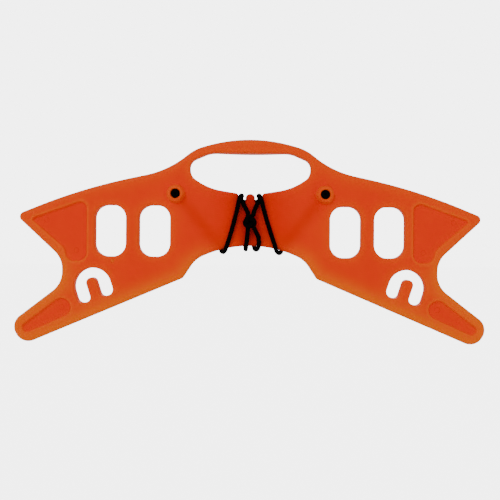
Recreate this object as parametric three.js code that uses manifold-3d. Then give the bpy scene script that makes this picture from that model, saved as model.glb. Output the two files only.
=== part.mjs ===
// Carrying yoke: a one-piece moulded plate with a hand grip, four strap slots, two horseshoe hook
// slots and forked ends, and one elastic cord that is knotted in two bosses and tied round the waist.
// Millimetres. X runs to the right, Z up, and the front of the plate faces -Y.
// The origin is the middle of the grip bar, on the plane of symmetry and of mid-thickness.
import * as THREE from "three";
import { mergeVertices } from "three/addons/utils/BufferGeometryUtils.js";
import Module from "manifold-3d";

const wasm = await Module();
wasm.setup();

// ---- Driving dimensions ----------------------------------------------------------------------

// Plate
const SPAN = 469; // over the lower prongs, tip to tip
const DROP = 195.4; // from the grip's centre down to the lowest point of the lower prongs
const THICKNESS = 12;
const EDGE_ROUND = 4; // outer edge
const RIM_ROUND = 2; // edges of the openings
const CHORD_ERROR = 0.12; // how far a facet may cut inside its arc

// Grip and hand opening
const GRIP_HEIGHT = 13; // of the bar, at its middle
const GRIP_DEPTH = 18; // front to back, at the middle of its bulge
const GRIP_BULGE_LENGTH = 84;
const GRIP_BULGE_DROP = 0.8; // how far the bulge hangs below the bar
const GRIP_EDGE = { rise: EDGE_ROUND, inset: 2.4 }; // how the bulge's edges curve in
const GRIP_CROWN = { rise: 7.1, radius: 160 }; // the arch of the bar's upper edge
const SHOULDER = { x: 55.5, z: -3, radius: 45 }; // where that arch turns down into the arm
const OPENING_WIDTH = 120;
const WAIST_TOP = -47; // the opening's lower edge beside the notches
const WAIST_BOTTOM = -99; // the plate's lower edge on the plane of symmetry

// Cord notches, with a tongue between them
const TONGUE_WIDTH = 9.2;
const NOTCH_WIDTH = 7.4;
const NOTCH_DEPTH = 10;
const NOTCH_LIP_ROUND = 2.5;

// Strap slots
const SLOT_WIDTH = 31;
const SLOT_HEIGHT = 51;
const SLOT_CORNER = 13;
const SLOT_BAR = 12.9; // material between the two slots of a pair
const INNER_SLOT_X = 95;
const SLOT_Z = -84.9;

// Fork between the upper and the lower prong
const FORK_DEPTH = 47.5; // from the lower prong's tip in to the notch
const FORK_ROUND = 24;
const UPPER_TIP_ROUND = 5;
const LOWER_TIP_ROUND = 13.5;

// Hook slot: a horseshoe with a tongue, leaning towards the plane of symmetry
const HOOK_RADIUS = 18.5;
const HOOK_TONGUE = 10.4;
const HOOK_TONGUE_TOP = 9;
const HOOK_LEG = 13.1;
const HOOK_LEG_ROUND = 4.8;
const HOOK_LEAN = THREE.MathUtils.degToRad(18);
const HOOK_FROM_TIP = 78.4;
const HOOK_Z = -140.5;

// Pockets, one of each shape on both faces of each arm
const POCKET_DEPTH = 3;
const POCKET_DRAFT = 1.2; // how far the wall leans in over its depth
const POCKET_BORDER = 7.3; // material between a strap slot and the pocket

// Cord bosses
const BOSS_X = 74;
const BOSS_Z = -47.9;
const BOSS_HEIGHT = 5.5;
const KNOT_BORE_RADIUS = 4.8;
const BOSS_WALL = 2.5; // round the knot's bore, at the top
const BOSS_TAPER = 1.5; // how much wider the boss is at its foot
const KNOT_BORE_DEPTH = 7; // from the boss's top
const BORE_FLARE = 4; // round of the narrow bore's mouth at the back

// Elastic cord: a rubber core in a braided sheath
const CORD_DIAMETER = 4.5;
const SHEATH_WALL = 0.5;
const CORD_SIDES = 8;
const CLEARANCE = 0.3; // between pieces that touch on the real object
const CENTRE_KNOT = { x: -0.4, z: -74.7, width: 14.4, depth: 10.8, height: 15 };
const CENTRE_KNOT_GAP = 0.7; // between the plate and the knot

// ---- Worked out from them --------------------------------------------------------------------

const HALF = THICKNESS / 2;
const CORD_RADIUS = CORD_DIAMETER / 2;
const CORD_BORE_RADIUS = CORD_RADIUS + CLEARANCE;
const TIP_X = SPAN / 2;
const FORK_X = TIP_X - FORK_DEPTH;
const OUTER_SLOT_X = INNER_SLOT_X + SLOT_WIDTH + SLOT_BAR;
const HOOK_X = TIP_X - HOOK_FROM_TIP;
const BOSS_TOP_Y = -HALF - BOSS_HEIGHT;
const BOSS_TOP_RADIUS = KNOT_BORE_RADIUS + BOSS_WALL;
const BOSS_BASE_RADIUS = BOSS_TOP_RADIUS + BOSS_TAPER;
const BORE_SEAT_Y = BOSS_TOP_Y + KNOT_BORE_DEPTH;
const CROWN_Z = GRIP_HEIGHT / 2 + GRIP_CROWN.rise;
const OVERSHOOT = 0.5; // how far a cutter runs past the face it opens
const SHORTEST_SIDE = 0.3; // of an outline

// ---- Materials -------------------------------------------------------------------------------

const PLASTIC = { color: 0xf4480c, roughness: 0.42, metalness: 0 };
const BRAID = { color: 0x0c0c0d, roughness: 0.85, metalness: 0 };
const RUBBER = { color: 0xb9a37c, roughness: 0.6, metalness: 0 };

// ---- Outlines --------------------------------------------------------------------------------

function arcSteps(radius, turn) {
  return Math.max(2, Math.ceil(turn / (2 * Math.acos(1 - CHORD_ERROR / radius))));
}

// A corner of an outline, its two sides as vectors, and how far along them its arc would reach.
function cornerAt(corners, i) {
  const [x, z, radius] = corners[i];
  const point = new THREE.Vector2(x, z);
  const back = new THREE.Vector2(...corners.at(i - 1).slice(0, 2)).sub(point);
  const ahead = new THREE.Vector2(...corners[(i + 1) % corners.length].slice(0, 2)).sub(point);
  const half = back.angleTo(ahead) / 2;
  return { point, back, ahead, half, radius, reach: radius / Math.tan(half) };
}

// The arc tangent to a corner's two sides, as points.
function cornerArc({ point, back, ahead, half }, radius) {
  const u = back.clone().normalize();
  const v = ahead.clone().normalize();
  const centre = point.clone().addScaledVector(u.clone().add(v).normalize(), radius / Math.sin(half));
  const start = point.clone().addScaledVector(u, radius / Math.tan(half)).sub(centre);
  const turn = Math.sign(v.cross(u)) * (Math.PI - 2 * half);
  const steps = arcSteps(radius, Math.abs(turn));
  return Array.from({ length: steps + 1 }, (_, k) => {
    return start.clone().rotateAround(new THREE.Vector2(), (turn * k) / steps).add(centre);
  });
}

// A closed outline from corners [x, z, radius], each replaced by its arc. Two arcs that want more
// of a side than it has share it, and arcs that all but meet share a point.
function roundedOutline(list) {
  const corners = list.map((_, i) => cornerAt(list, i));
  const points = corners.flatMap((corner, i) => {
    const before = corners.at(i - 1);
    const after = corners[(i + 1) % corners.length];
    const backFit = corner.back.length() / (corner.reach + before.reach);
    const aheadFit = corner.ahead.length() / (corner.reach + after.reach);
    return cornerArc(corner, corner.radius * Math.min(1, backFit, aheadFit));
  });
  return points.filter((point, i) => point.distanceTo(points.at(i - 1)) > SHORTEST_SIDE);
}

// The right half of an outline, then its mirror image. A corner on the plane of symmetry counts once.
function mirrored(right) {
  const left = right.filter(([x]) => x !== 0).map(([x, z, radius]) => [-x, z, radius]);
  return [...right, ...left.reverse()];
}

// Outer edge, clockwise from the top of the grip.
function plateCorners() {
  return mirrored([
    [0, CROWN_Z, GRIP_CROWN.radius],
    [SHOULDER.x, SHOULDER.z, SHOULDER.radius],
    [82.2, -24.2, 95],
    [TIP_X - 68, -42.4, 560],
    [TIP_X - 1, -69.8, UPPER_TIP_ROUND],
    [FORK_X, -112.9, FORK_ROUND],
    [FORK_X, -137.9, FORK_ROUND],
    [TIP_X + 4.2, 17.6 - DROP, LOWER_TIP_ROUND],
    [TIP_X - 9.2, -3.6 - DROP, LOWER_TIP_ROUND],
    [66.9, -131.8, 6],
    [54.4, WAIST_BOTTOM - 13.7, 28],
    [0, WAIST_BOTTOM + 10.9, 113],
  ]);
}

// Hand opening, with the two cord notches and the tongue in its lower edge.
function openingCorners() {
  const top = -GRIP_HEIGHT / 2;
  const end = OPENING_WIDTH / 2;
  const tongue = TONGUE_WIDTH / 2;
  const notch = tongue + NOTCH_WIDTH;
  const floor = WAIST_TOP - NOTCH_DEPTH;
  const full = 0.1; // what a full round leaves flat
  return mirrored([
    [39.5, top, 33],
    [end, top - 9, 9.5],
    [end, -29.8, 13],
    [41.2, WAIST_TOP + 4.7, 60],
    [notch, WAIST_TOP, NOTCH_LIP_ROUND],
    [notch, floor, NOTCH_WIDTH / 2 - full],
    [tongue, floor, NOTCH_WIDTH / 2 - full],
    [tongue, WAIST_TOP - 0.3, tongue - full],
  ]);
}

function slotCorners(x) {
  const w = SLOT_WIDTH / 2;
  const h = SLOT_HEIGHT / 2;
  return [
    [x - w, SLOT_Z + h, SLOT_CORNER],
    [x + w, SLOT_Z + h, SLOT_CORNER],
    [x + w, SLOT_Z - h, SLOT_CORNER],
    [x - w, SLOT_Z - h, SLOT_CORNER],
  ];
}

// Horseshoe on the given arm (1 right, -1 left): a round arch over the tongue, and two legs.
function hookCorners(arm) {
  const tongue = HOOK_TONGUE / 2;
  const half = [
    [HOOK_RADIUS, HOOK_RADIUS, HOOK_RADIUS - 0.1],
    [HOOK_RADIUS, -HOOK_LEG, HOOK_LEG_ROUND + 1.2],
    [tongue, -HOOK_LEG, HOOK_LEG_ROUND],
    [tongue, HOOK_TONGUE_TOP, tongue - 0.1],
  ];
  return mirrored(half).map(([u, v, radius]) => {
    const p = new THREE.Vector2(u, v).rotateAround(new THREE.Vector2(), -HOOK_LEAN);
    return [arm * (HOOK_X + p.x), HOOK_Z + p.y, radius];
  });
}

// Pocket in the upper prong, bounded by the strap slot's border, the top edge and the fork.
function upperPocketCorners(arm) {
  const inner = OUTER_SLOT_X + SLOT_WIDTH / 2 + POCKET_BORDER;
  const right = [
    [inner, -53, 7],
    [TIP_X - 15.8, -73.2, 2.5],
    [FORK_X - 2, -102.3, 10],
    [FORK_X - 5.6, -115.6, 9],
    [inner, -115.6, 9],
  ];
  return right.map(([x, z, radius]) => [arm * x, z, radius]);
}

// Teardrop pocket in the lower prong: the belt round a large circle and a small one.
function lowerPocketOutline(arm) {
  const large = new THREE.Vector2(arm * FORK_X, 33.9 - DROP);
  const small = new THREE.Vector2(arm * (TIP_X - 14.1), 14.1 - DROP);
  const largeRadius = 9.7;
  const smallRadius = 5.2;
  const along = small.clone().sub(large);
  const lean = Math.acos((largeRadius - smallRadius) / along.length());
  const arc = (centre, radius, from, turn) => {
    const steps = arcSteps(radius, turn);
    return Array.from({ length: steps + 1 }, (_, k) => {
      const angle = from + (turn * k) / steps;
      return new THREE.Vector2(Math.cos(angle), Math.sin(angle)).multiplyScalar(radius).add(centre);
    });
  };
  return [
    ...arc(small, smallRadius, along.angle() - lean, 2 * lean),
    ...arc(large, largeRadius, along.angle() + lean, 2 * (Math.PI - lean)),
  ];
}

// The bar between the hand opening and the upper edge, as far as the bulge reaches.
function gripBarCorners() {
  const end = GRIP_BULGE_LENGTH / 2 + 2;
  const radius = GRIP_CROWN.radius - 0.15; // keeps the bulge inside the plate's own outline
  const lean = Math.asin((end - 4) / radius);
  const apex = GRIP_HEIGHT / 2 - GRIP_CROWN.radius + radius / Math.cos(lean);
  const corner = GRIP_EDGE.inset + 0.2;
  return mirrored([
    [0, apex, radius],
    [end, apex - end * Math.tan(lean), corner],
    [end, -GRIP_HEIGHT / 2 - GRIP_BULGE_DROP, corner],
  ]);
}

// ---- Solids ----------------------------------------------------------------------------------

function solidOf(geometry) {
  const bare = geometry.clone();
  bare.deleteAttribute("normal");
  bare.deleteAttribute("uv");
  const merged = mergeVertices(bare, 1e-4);
  const vertProperties = new Float32Array(merged.attributes.position.array);
  const triVerts = new Uint32Array(merged.index.array);
  return new wasm.Manifold(new wasm.Mesh({ numProp: 3, vertProperties, triVerts }));
}

function meshOf(name, solid, look) {
  const { vertProperties, triVerts } = solid.getMesh();
  const geometry = new THREE.BufferGeometry();
  geometry.setAttribute("position", new THREE.BufferAttribute(vertProperties, 3));
  geometry.setIndex(new THREE.BufferAttribute(triVerts, 1));
  geometry.computeVertexNormals();
  const mesh = new THREE.Mesh(geometry, new THREE.MeshStandardMaterial(look));
  mesh.name = name;
  return mesh;
}

// An outline in X and Z made a slab between two depths in Y. Over "rise" from each face its edge
// curves in by "inset", or out where that is negative.
function slab(points, frontY, backY, { rise = 0, inset = 0, segments = 3 } = {}) {
  const geometry = new THREE.ExtrudeGeometry(new THREE.Shape(points), {
    depth: backY - frontY - 2 * rise,
    bevelEnabled: rise > 0,
    bevelThickness: rise,
    bevelSize: inset,
    bevelOffset: -inset,
    bevelSegments: segments,
  });
  geometry.rotateX(Math.PI / 2);
  geometry.translate(0, backY - rise, 0);
  return solidOf(geometry);
}

// What a hole right through the plate takes away, its two rims rounded.
function throughCutter(corners) {
  const points = roundedOutline(corners);
  const rims = slab(points, -HALF, HALF, { rise: RIM_ROUND, inset: -RIM_ROUND, segments: 2 });
  const bore = slab(points, -HALF - OVERSHOOT, HALF + OVERSHOOT);
  return rims.add(bore);
}

// What a pocket takes away from the front face and from the back face.
function pocketCutters(points) {
  const edge = { rise: POCKET_DEPTH, inset: POCKET_DRAFT, segments: 2 };
  const reach = 2 * POCKET_DEPTH + OVERSHOOT;
  const floor = HALF - POCKET_DEPTH;
  const front = slab(points, -floor - reach, -floor, edge);
  const back = slab(points, floor, floor + reach, edge);
  return front.add(back);
}

// A profile of [radius, y] turned about an axis along Y.
function turned(profile, x, z, segments) {
  const points = profile.map(([radius, y]) => new THREE.Vector2(radius, y));
  const geometry = new THREE.LatheGeometry(points, segments);
  geometry.translate(x, 0, z);
  return solidOf(geometry);
}

// Tapered collar on the front face that holds a stopper knot.
function bossCollar(x) {
  const profile = [
    [0, BOSS_TOP_Y],
    [BOSS_TOP_RADIUS - 1, BOSS_TOP_Y],
    [BOSS_TOP_RADIUS, BOSS_TOP_Y + 1],
    [BOSS_BASE_RADIUS - 0.6, -HALF - 0.8],
    [BOSS_BASE_RADIUS, -HALF + OVERSHOOT],
    [0, -HALF + OVERSHOOT],
  ];
  return turned(profile, x, BOSS_Z, 24);
}

// Bore for the knot from the front, then a narrower one for the cord, flared at the back.
function bossBore(x) {
  const mouth = CORD_BORE_RADIUS + BORE_FLARE;
  const flare = [0, 1, 2, 3].map((k) => {
    const angle = (k * Math.PI) / 6;
    return [mouth - BORE_FLARE * Math.cos(angle), HALF - BORE_FLARE * (1 - Math.sin(angle))];
  });
  const profile = [
    [0, BOSS_TOP_Y - OVERSHOOT],
    [KNOT_BORE_RADIUS, BOSS_TOP_Y - OVERSHOOT],
    [KNOT_BORE_RADIUS, BORE_SEAT_Y],
    [CORD_BORE_RADIUS, BORE_SEAT_Y],
    ...flare,
    [mouth, HALF + OVERSHOOT],
    [0, HALF + OVERSHOOT],
  ];
  return turned(profile, x, BOSS_Z, 20);
}

// The bar's extra depth: thickest in the middle, and running out into both faces at its ends.
function gripBulge() {
  const end = GRIP_BULGE_LENGTH / 2;
  const proud = GRIP_DEPTH / 2 - HALF;
  const bulgeRadius = (end * end + proud * proud) / (2 * proud);
  const spread = Math.asin(end / bulgeRadius);
  const lens = new THREE.Shape();
  lens.absarc(0, GRIP_DEPTH / 2 - bulgeRadius, bulgeRadius, Math.PI / 2 - spread, Math.PI / 2 + spread);
  lens.absarc(0, bulgeRadius - GRIP_DEPTH / 2, bulgeRadius, -Math.PI / 2 - spread, -Math.PI / 2 + spread);
  const tall = 4 * GRIP_HEIGHT;
  const prism = new THREE.ExtrudeGeometry(lens, { depth: tall, bevelEnabled: false, curveSegments: 10 });
  prism.translate(0, 0, -tall / 2);
  const bar = slab(roundedOutline(gripBarCorners()), -GRIP_DEPTH / 2, GRIP_DEPTH / 2, GRIP_EDGE);
  return bar.intersect(solidOf(prism));
}

function yokePlate() {
  const edge = { rise: EDGE_ROUND, inset: EDGE_ROUND };
  let plate = slab(roundedOutline(plateCorners()), -HALF, HALF, edge);
  plate = plate.subtract(throughCutter(openingCorners()));
  for (const arm of [1, -1]) {
    plate = plate.subtract(throughCutter(slotCorners(arm * INNER_SLOT_X)));
    plate = plate.subtract(throughCutter(slotCorners(arm * OUTER_SLOT_X)));
    plate = plate.subtract(throughCutter(hookCorners(arm)));
    plate = plate.subtract(pocketCutters(roundedOutline(upperPocketCorners(arm))));
    plate = plate.subtract(pocketCutters(lowerPocketOutline(arm)));
    plate = plate.add(bossCollar(arm * BOSS_X));
    plate = plate.subtract(bossBore(arm * BOSS_X));
  }
  return plate.add(gripBulge());
}

// ---- Elastic cord ----------------------------------------------------------------------------

// From the right boss, down behind the plate, round its lower edge, up to the right notch, through
// it, down the back, round the lower edge again and up into the centre knot.
const RIGHT_ROUTE = [
  [74, -4.2, -47.9],
  [74, 1.6, -47.9],
  [73.8, 4.7, -48.1],
  [72.9, 6.9, -49.3],
  [71.5, 8.4, -51],
  [69.8, 8.9, -53],
  [61.2, 8.8, -63.6],
  [52.7, 8.8, -74.2],
  [44.1, 8.8, -84.8],
  [35.6, 8.8, -95.4],
  [32.3, 9, -99.8],
  [31.5, 7.2, -104.6],
  [29.8, 2.8, -105.9],
  [28, -2.9, -105.5],
  [26, -7.3, -103.3],
  [24.4, -9, -98.2],
  [22.7, -8.9, -93.2],
  [19.1, -8.9, -82.2],
  [15.5, -9, -70.6],
  [12.6, -10.4, -60.4],
  [11, -11.4, -54.2],
  [9.3, -8.8, -49.8],
  [8.4, -4, -49.1],
  [8.3, 0, -49],
  [8.4, 4.4, -49.1],
  [9, 9.2, -50],
  [9.4, 12.6, -53.6],
  [8.6, 12.6, -58.4],
  [7, 10, -64.2],
  [5.9, 8.8, -71],
  [4.6, 8.8, -83],
  [3.6, 8.9, -94.6],
  [4, 7.2, -99.6],
  [5.2, 2.8, -102.3],
  [7, -2.6, -102.4],
  [8.2, -7.2, -100.5],
  [8.8, -9.1, -95.6],
  [8.2, -9.6, -90.4],
  [5.4, -10.6, -84.6],
  [3.3, -11.6, -80],
];

// The same on the left, where the cord lies a little differently.
const LEFT_ROUTE = [
  [-74, -4.2, -47.9],
  [-74, 1.6, -47.9],
  [-73.8, 4.7, -48.1],
  [-72.9, 6.9, -49.3],
  [-71.5, 8.4, -51],
  [-69.8, 8.9, -53],
  [-60.8, 8.8, -63.4],
  [-51.8, 8.8, -73.8],
  [-42.8, 8.8, -84.2],
  [-33.8, 8.8, -94.8],
  [-29.9, 9, -99.4],
  [-29, 7, -103.9],
  [-27.4, 2.8, -105.2],
  [-25.9, -2.9, -105],
  [-24.2, -7.3, -103],
  [-22.4, -9, -97.9],
  [-20.8, -8.9, -92.8],
  [-17.6, -8.9, -81.8],
  [-14.7, -9, -70.4],
  [-12.3, -10.4, -60.2],
  [-11.1, -11.4, -54.2],
  [-9.4, -8.8, -49.8],
  [-8.5, -4, -49.1],
  [-8.4, 0, -49],
  [-8.4, 4.4, -49.1],
  [-9, 9.2, -50],
  [-9.4, 12.6, -53.6],
  [-8.6, 12.6, -58.4],
  [-7.2, 10, -64.2],
  [-6.4, 8.8, -71],
  [-5.6, 8.8, -83],
  [-4.9, 8.9, -94.6],
  [-4.6, 7.2, -99.8],
  [-4.3, 2.7, -102.1],
  [-4.1, -2.7, -102.1],
  [-3.8, -7.2, -99.8],
  [-3.3, -9.1, -94.8],
  [-2.5, -10, -87],
  [-1.9, -11.6, -80],
];

// Out of the centre knot, through the right notch, behind the tongue and back to the knot.
const LOOP_ROUTE = [
  [2.9, -12.2, -70.4],
  [3.5, -10.8, -66.4],
  [4.8, -9.5, -62.4],
  [6.4, -9.1, -59],
  [7.6, -7.6, -55.5],
  [8.2, -4.4, -54.2],
  [8.3, 0, -54],
  [7.6, 6.2, -54.2],
  [4.4, 8.9, -54.5],
  [0, 9, -54.6],
  [-4.4, 8.9, -54.5],
  [-7.6, 6.2, -54.2],
  [-8.4, 0, -54],
  [-8.2, -4.4, -54.2],
  [-7.6, -7.6, -55.5],
  [-6.2, -9.1, -59],
  [-4.4, -9.5, -62.4],
  [-2.6, -10.8, -66.4],
  [-2, -12.2, -70.4],
];

// An ellipsoid of the centre knot's size, grown by a margin all round.
function centreKnot(margin = 0) {
  const geometry = new THREE.SphereGeometry(1, 20, 12);
  const { x, z, width, depth, height } = CENTRE_KNOT;
  geometry.scale(width / 2 + margin, depth / 2 + margin, height / 2 + margin);
  geometry.translate(x, -HALF - CENTRE_KNOT_GAP - depth / 2, z);
  return solidOf(geometry);
}

// Knot that fills a boss's bore and bears on its seat.
function stopperKnot(x) {
  const radius = KNOT_BORE_RADIUS - CLEARANCE;
  const seat = BORE_SEAT_Y - CLEARANCE;
  const profile = [
    [0, BOSS_TOP_Y - 1.2],
    [radius * 0.55, BOSS_TOP_Y - 0.8],
    [radius * 0.9, BOSS_TOP_Y + 0.6],
    [radius, BOSS_TOP_Y + 2.4],
    [radius, seat - 1.4],
    [radius * 0.7, seat],
    [0, seat],
  ];
  return turned(profile, x, BOSS_Z, 16);
}

function ring(radius, Path) {
  const path = new Path();
  for (let k = 0; k < CORD_SIDES; k += 1) {
    const angle = (2 * Math.PI * k) / CORD_SIDES;
    const go = k === 0 ? "moveTo" : "lineTo";
    path[go](radius * Math.cos(angle), radius * Math.sin(angle));
  }
  path.closePath();
  return path;
}

// A smooth curve through a route's points that is stepped from point to point, so that its sections
// lie close together in the bends and far apart along the straights.
class Route extends THREE.CatmullRomCurve3 {
  constructor(points) {
    super(points.map((point) => new THREE.Vector3(...point)), false, "centripetal");
  }

  getPointAt(u, target) {
    return this.getPoint(u, target);
  }

  getTangentAt(u, target) {
    return this.getTangent(u, target);
  }
}

// A tube along a route, hollow where it has an inner radius.
function tube(points, outerRadius, innerRadius = 0) {
  const section = ring(outerRadius, THREE.Shape);
  if (innerRadius > 0) {
    section.holes.push(ring(innerRadius, THREE.Path));
  }
  const options = { steps: points.length - 1, extrudePath: new Route(points), bevelEnabled: false };
  return solidOf(new THREE.ExtrudeGeometry(section, options));
}

// The braided sheath and the rubber core of one run, both stopping short of the centre knot.
function cordRun(name, route) {
  const inner = CORD_RADIUS - SHEATH_WALL;
  const knot = centreKnot(CLEARANCE);
  const sheath = tube(route, CORD_RADIUS, inner).subtract(knot);
  const core = tube(route, inner - CLEARANCE).subtract(knot);
  return [meshOf(`${name}_sheath`, sheath, BRAID), meshOf(`${name}_core`, core, RUBBER)];
}

// ---- Assembly --------------------------------------------------------------------------------

const yoke = new THREE.Group();
yoke.add(meshOf("yoke_plate", yokePlate(), PLASTIC));
yoke.add(...cordRun("right_cord", RIGHT_ROUTE));
yoke.add(...cordRun("left_cord", LEFT_ROUTE));
yoke.add(...cordRun("tongue_loop", LOOP_ROUTE));
yoke.add(meshOf("centre_knot", centreKnot(), BRAID));
yoke.add(meshOf("right_stopper_knot", stopperKnot(BOSS_X), BRAID));
yoke.add(meshOf("left_stopper_knot", stopperKnot(-BOSS_X), BRAID));
export default yoke;
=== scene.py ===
"""Carrying yoke: a moulded plate with a hand grip, strap slots, hook slots and forked ends, and one
braided elastic cord knotted in two bosses and tied round the waist. The object's lengths are given in
millimetres and made metres by MM, and the camera, the lights and the floor are placed in metres. X
runs to the right, Z up, and the front of the plate faces -Y."""
import math

import bmesh
import bpy
import numpy as np
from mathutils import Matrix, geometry


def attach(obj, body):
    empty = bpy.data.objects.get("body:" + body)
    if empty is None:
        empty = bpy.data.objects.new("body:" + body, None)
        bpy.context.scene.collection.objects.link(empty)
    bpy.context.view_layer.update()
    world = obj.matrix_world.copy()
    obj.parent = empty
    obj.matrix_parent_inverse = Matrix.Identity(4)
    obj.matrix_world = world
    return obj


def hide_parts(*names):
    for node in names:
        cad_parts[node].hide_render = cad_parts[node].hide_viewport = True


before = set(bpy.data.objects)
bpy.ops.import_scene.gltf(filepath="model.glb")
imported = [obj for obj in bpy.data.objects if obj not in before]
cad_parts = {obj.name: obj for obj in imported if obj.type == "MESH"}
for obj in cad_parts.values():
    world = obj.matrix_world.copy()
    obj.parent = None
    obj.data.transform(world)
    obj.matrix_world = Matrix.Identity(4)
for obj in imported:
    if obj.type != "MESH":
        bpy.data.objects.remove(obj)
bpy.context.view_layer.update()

MM = 0.001

# ---- Camera ------------------------------------------------------------------------------------

camera_data = bpy.data.cameras.new("camera")
camera_data.lens = 46.8
camera_data.sensor_width = 36
camera = bpy.data.objects.new("camera", camera_data)
camera.location = (0.0001, -0.650, -0.1031)
camera.rotation_euler = (math.radians(90), math.radians(-0.46), 0)
bpy.context.scene.collection.objects.link(camera)
bpy.context.scene.camera = camera

# ---- Cord routes -------------------------------------------------------------------------------

CORD_RADIUS = 2.25

# From the right boss, down behind the plate, round its lower edge, up to the right notch, through
# it, down the back, round the lower edge again and up into the centre knot.
RIGHT_ROUTE = [
    (74, -4.2, -47.9), (74, 1.6, -47.9), (73.8, 4.7, -48.1), (72.9, 6.9, -49.3), (71.5, 8.4, -51),
    (69.8, 8.9, -53), (61.2, 8.8, -63.6), (52.7, 8.8, -74.2), (44.1, 8.8, -84.8),
    (35.6, 8.8, -95.4), (32.3, 9, -99.8), (31.5, 7.2, -104.6), (29.8, 2.8, -105.9),
    (28, -2.9, -105.5), (26, -7.3, -103.3), (24.4, -9, -98.2), (22.7, -8.9, -93.2),
    (19.1, -8.9, -82.2), (15.5, -9, -70.6), (12.6, -10.4, -60.4), (11, -11.4, -54.2),
    (9.3, -8.8, -49.8), (8.4, -4, -49.1), (8.3, 0, -49), (8.4, 4.4, -49.1), (9, 9.2, -50),
    (9.4, 12.6, -53.6), (8.6, 12.6, -58.4), (7, 10, -64.2), (5.9, 8.8, -71), (4.6, 8.8, -83),
    (3.6, 8.9, -94.6), (4, 7.2, -99.6), (5.2, 2.8, -102.3), (7, -2.6, -102.4),
    (8.2, -7.2, -100.5), (8.8, -9.1, -95.6), (8.2, -9.6, -90.4), (5.4, -10.6, -84.6),
    (3.3, -11.6, -80),
]

# The same on the left, where the cord lies a little differently.
LEFT_ROUTE = [
    (-74, -4.2, -47.9), (-74, 1.6, -47.9), (-73.8, 4.7, -48.1), (-72.9, 6.9, -49.3),
    (-71.5, 8.4, -51), (-69.8, 8.9, -53), (-60.8, 8.8, -63.4), (-51.8, 8.8, -73.8),
    (-42.8, 8.8, -84.2), (-33.8, 8.8, -94.8), (-29.9, 9, -99.4), (-29, 7, -103.9),
    (-27.4, 2.8, -105.2), (-25.9, -2.9, -105), (-24.2, -7.3, -103), (-22.4, -9, -97.9),
    (-20.8, -8.9, -92.8), (-17.6, -8.9, -81.8), (-14.7, -9, -70.4), (-12.3, -10.4, -60.2),
    (-11.1, -11.4, -54.2), (-9.4, -8.8, -49.8), (-8.5, -4, -49.1), (-8.4, 0, -49),
    (-8.4, 4.4, -49.1), (-9, 9.2, -50), (-9.4, 12.6, -53.6), (-8.6, 12.6, -58.4),
    (-7.2, 10, -64.2), (-6.4, 8.8, -71), (-5.6, 8.8, -83), (-4.9, 8.9, -94.6),
    (-4.6, 7.2, -99.8), (-4.3, 2.7, -102.1), (-4.1, -2.7, -102.1), (-3.8, -7.2, -99.8),
    (-3.3, -9.1, -94.8), (-2.5, -10, -87), (-1.9, -11.6, -80),
]

# Out of the centre knot, through the right notch, behind the tongue and back to the knot.
LOOP_ROUTE = [
    (2.9, -12.2, -70.4), (3.5, -10.8, -66.4), (4.8, -9.5, -62.4), (6.4, -9.1, -59),
    (7.6, -7.6, -55.5), (8.2, -4.4, -54.2), (8.3, 0, -54), (7.6, 6.2, -54.2), (4.4, 8.9, -54.5),
    (0, 9, -54.6), (-4.4, 8.9, -54.5), (-7.6, 6.2, -54.2), (-8.4, 0, -54), (-8.2, -4.4, -54.2),
    (-7.6, -7.6, -55.5), (-6.2, -9.1, -59), (-4.4, -9.5, -62.4), (-2.6, -10.8, -66.4),
    (-2, -12.2, -70.4),
]

# ---- Plate sizes -------------------------------------------------------------------------------

HALF = 6  # half the plate's thickness
EDGE_ROUND = 4
RIM_ROUND = 2
TIP_X = 234.5
FORK_X = 187
DROP = 195.4
WAIST_TOP = -47
SLOT_Z = -84.9
SLOT_WIDTH = 31
SLOT_HEIGHT = 51
SLOT_CORNER = 13
INNER_SLOT_X = 95
OUTER_SLOT_X = 138.9
HOOK_X = 156.1
HOOK_Z = -140.5
HOOK_LEAN = math.radians(18)
BOSS_X = 74
BOSS_Z = -47.9
POCKET_DEPTH = 3
GRIP_BULGE = 3  # how far the grip stands proud of each face, at its middle
GRIP_BULGE_HALF = 42
GRIP_BULGE_DROP = 0.8
EJECTOR_MARKS = [(187, -161.5, 2.6), (172.6, -104.6, 2.4), (202.4, -74.6, 2.4)]
GATE_NIB = (-136.1, -114.9)
NIB_PROFILE = [(1.9, -5.9), (1.5, -6.05), (1.15, -6.3), (0.9, -6.55), (0.55, -6.66), (0.02, -6.7)]


def mirrored(right):
    """The right half of a list of corners, then its mirror image; a corner on the plane counts once."""
    left = [(-x, z, radius) for x, z, radius in right if x != 0]
    return right + left[::-1]


def plate_corners():
    """Outer edge of the plate, clockwise from the top of the grip."""
    return mirrored([
        (0, 13.6, 160),
        (55.5, -3, 45),
        (82.2, -24.2, 95),
        (TIP_X - 68, -42.4, 560),
        (TIP_X - 1, -69.8, 5),
        (FORK_X, -112.9, 24),
        (FORK_X, -137.9, 24),
        (TIP_X + 4.2, 17.6 - DROP, 13.5),
        (TIP_X - 9.2, -3.6 - DROP, 13.5),
        (66.9, -131.8, 6),
        (54.4, -112.7, 28),
        (0, -88.1, 113),
    ])


def opening_corners():
    """Hand opening, with the two cord notches and the tongue in its lower edge."""
    return mirrored([
        (39.5, -6.5, 33),
        (60, -15.5, 9.5),
        (60, -29.8, 13),
        (41.2, WAIST_TOP + 4.7, 60),
        (12, WAIST_TOP, 2.5),
        (12, WAIST_TOP - 10, 3.6),
        (4.6, WAIST_TOP - 10, 3.6),
        (4.6, WAIST_TOP - 0.3, 4.5),
    ])


def slot_corners(x):
    """Strap slot."""
    w, h = SLOT_WIDTH / 2, SLOT_HEIGHT / 2
    signs = [(-1, 1), (1, 1), (1, -1), (-1, -1)]
    return [(x + sx * w, SLOT_Z + sz * h, SLOT_CORNER) for sx, sz in signs]


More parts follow.
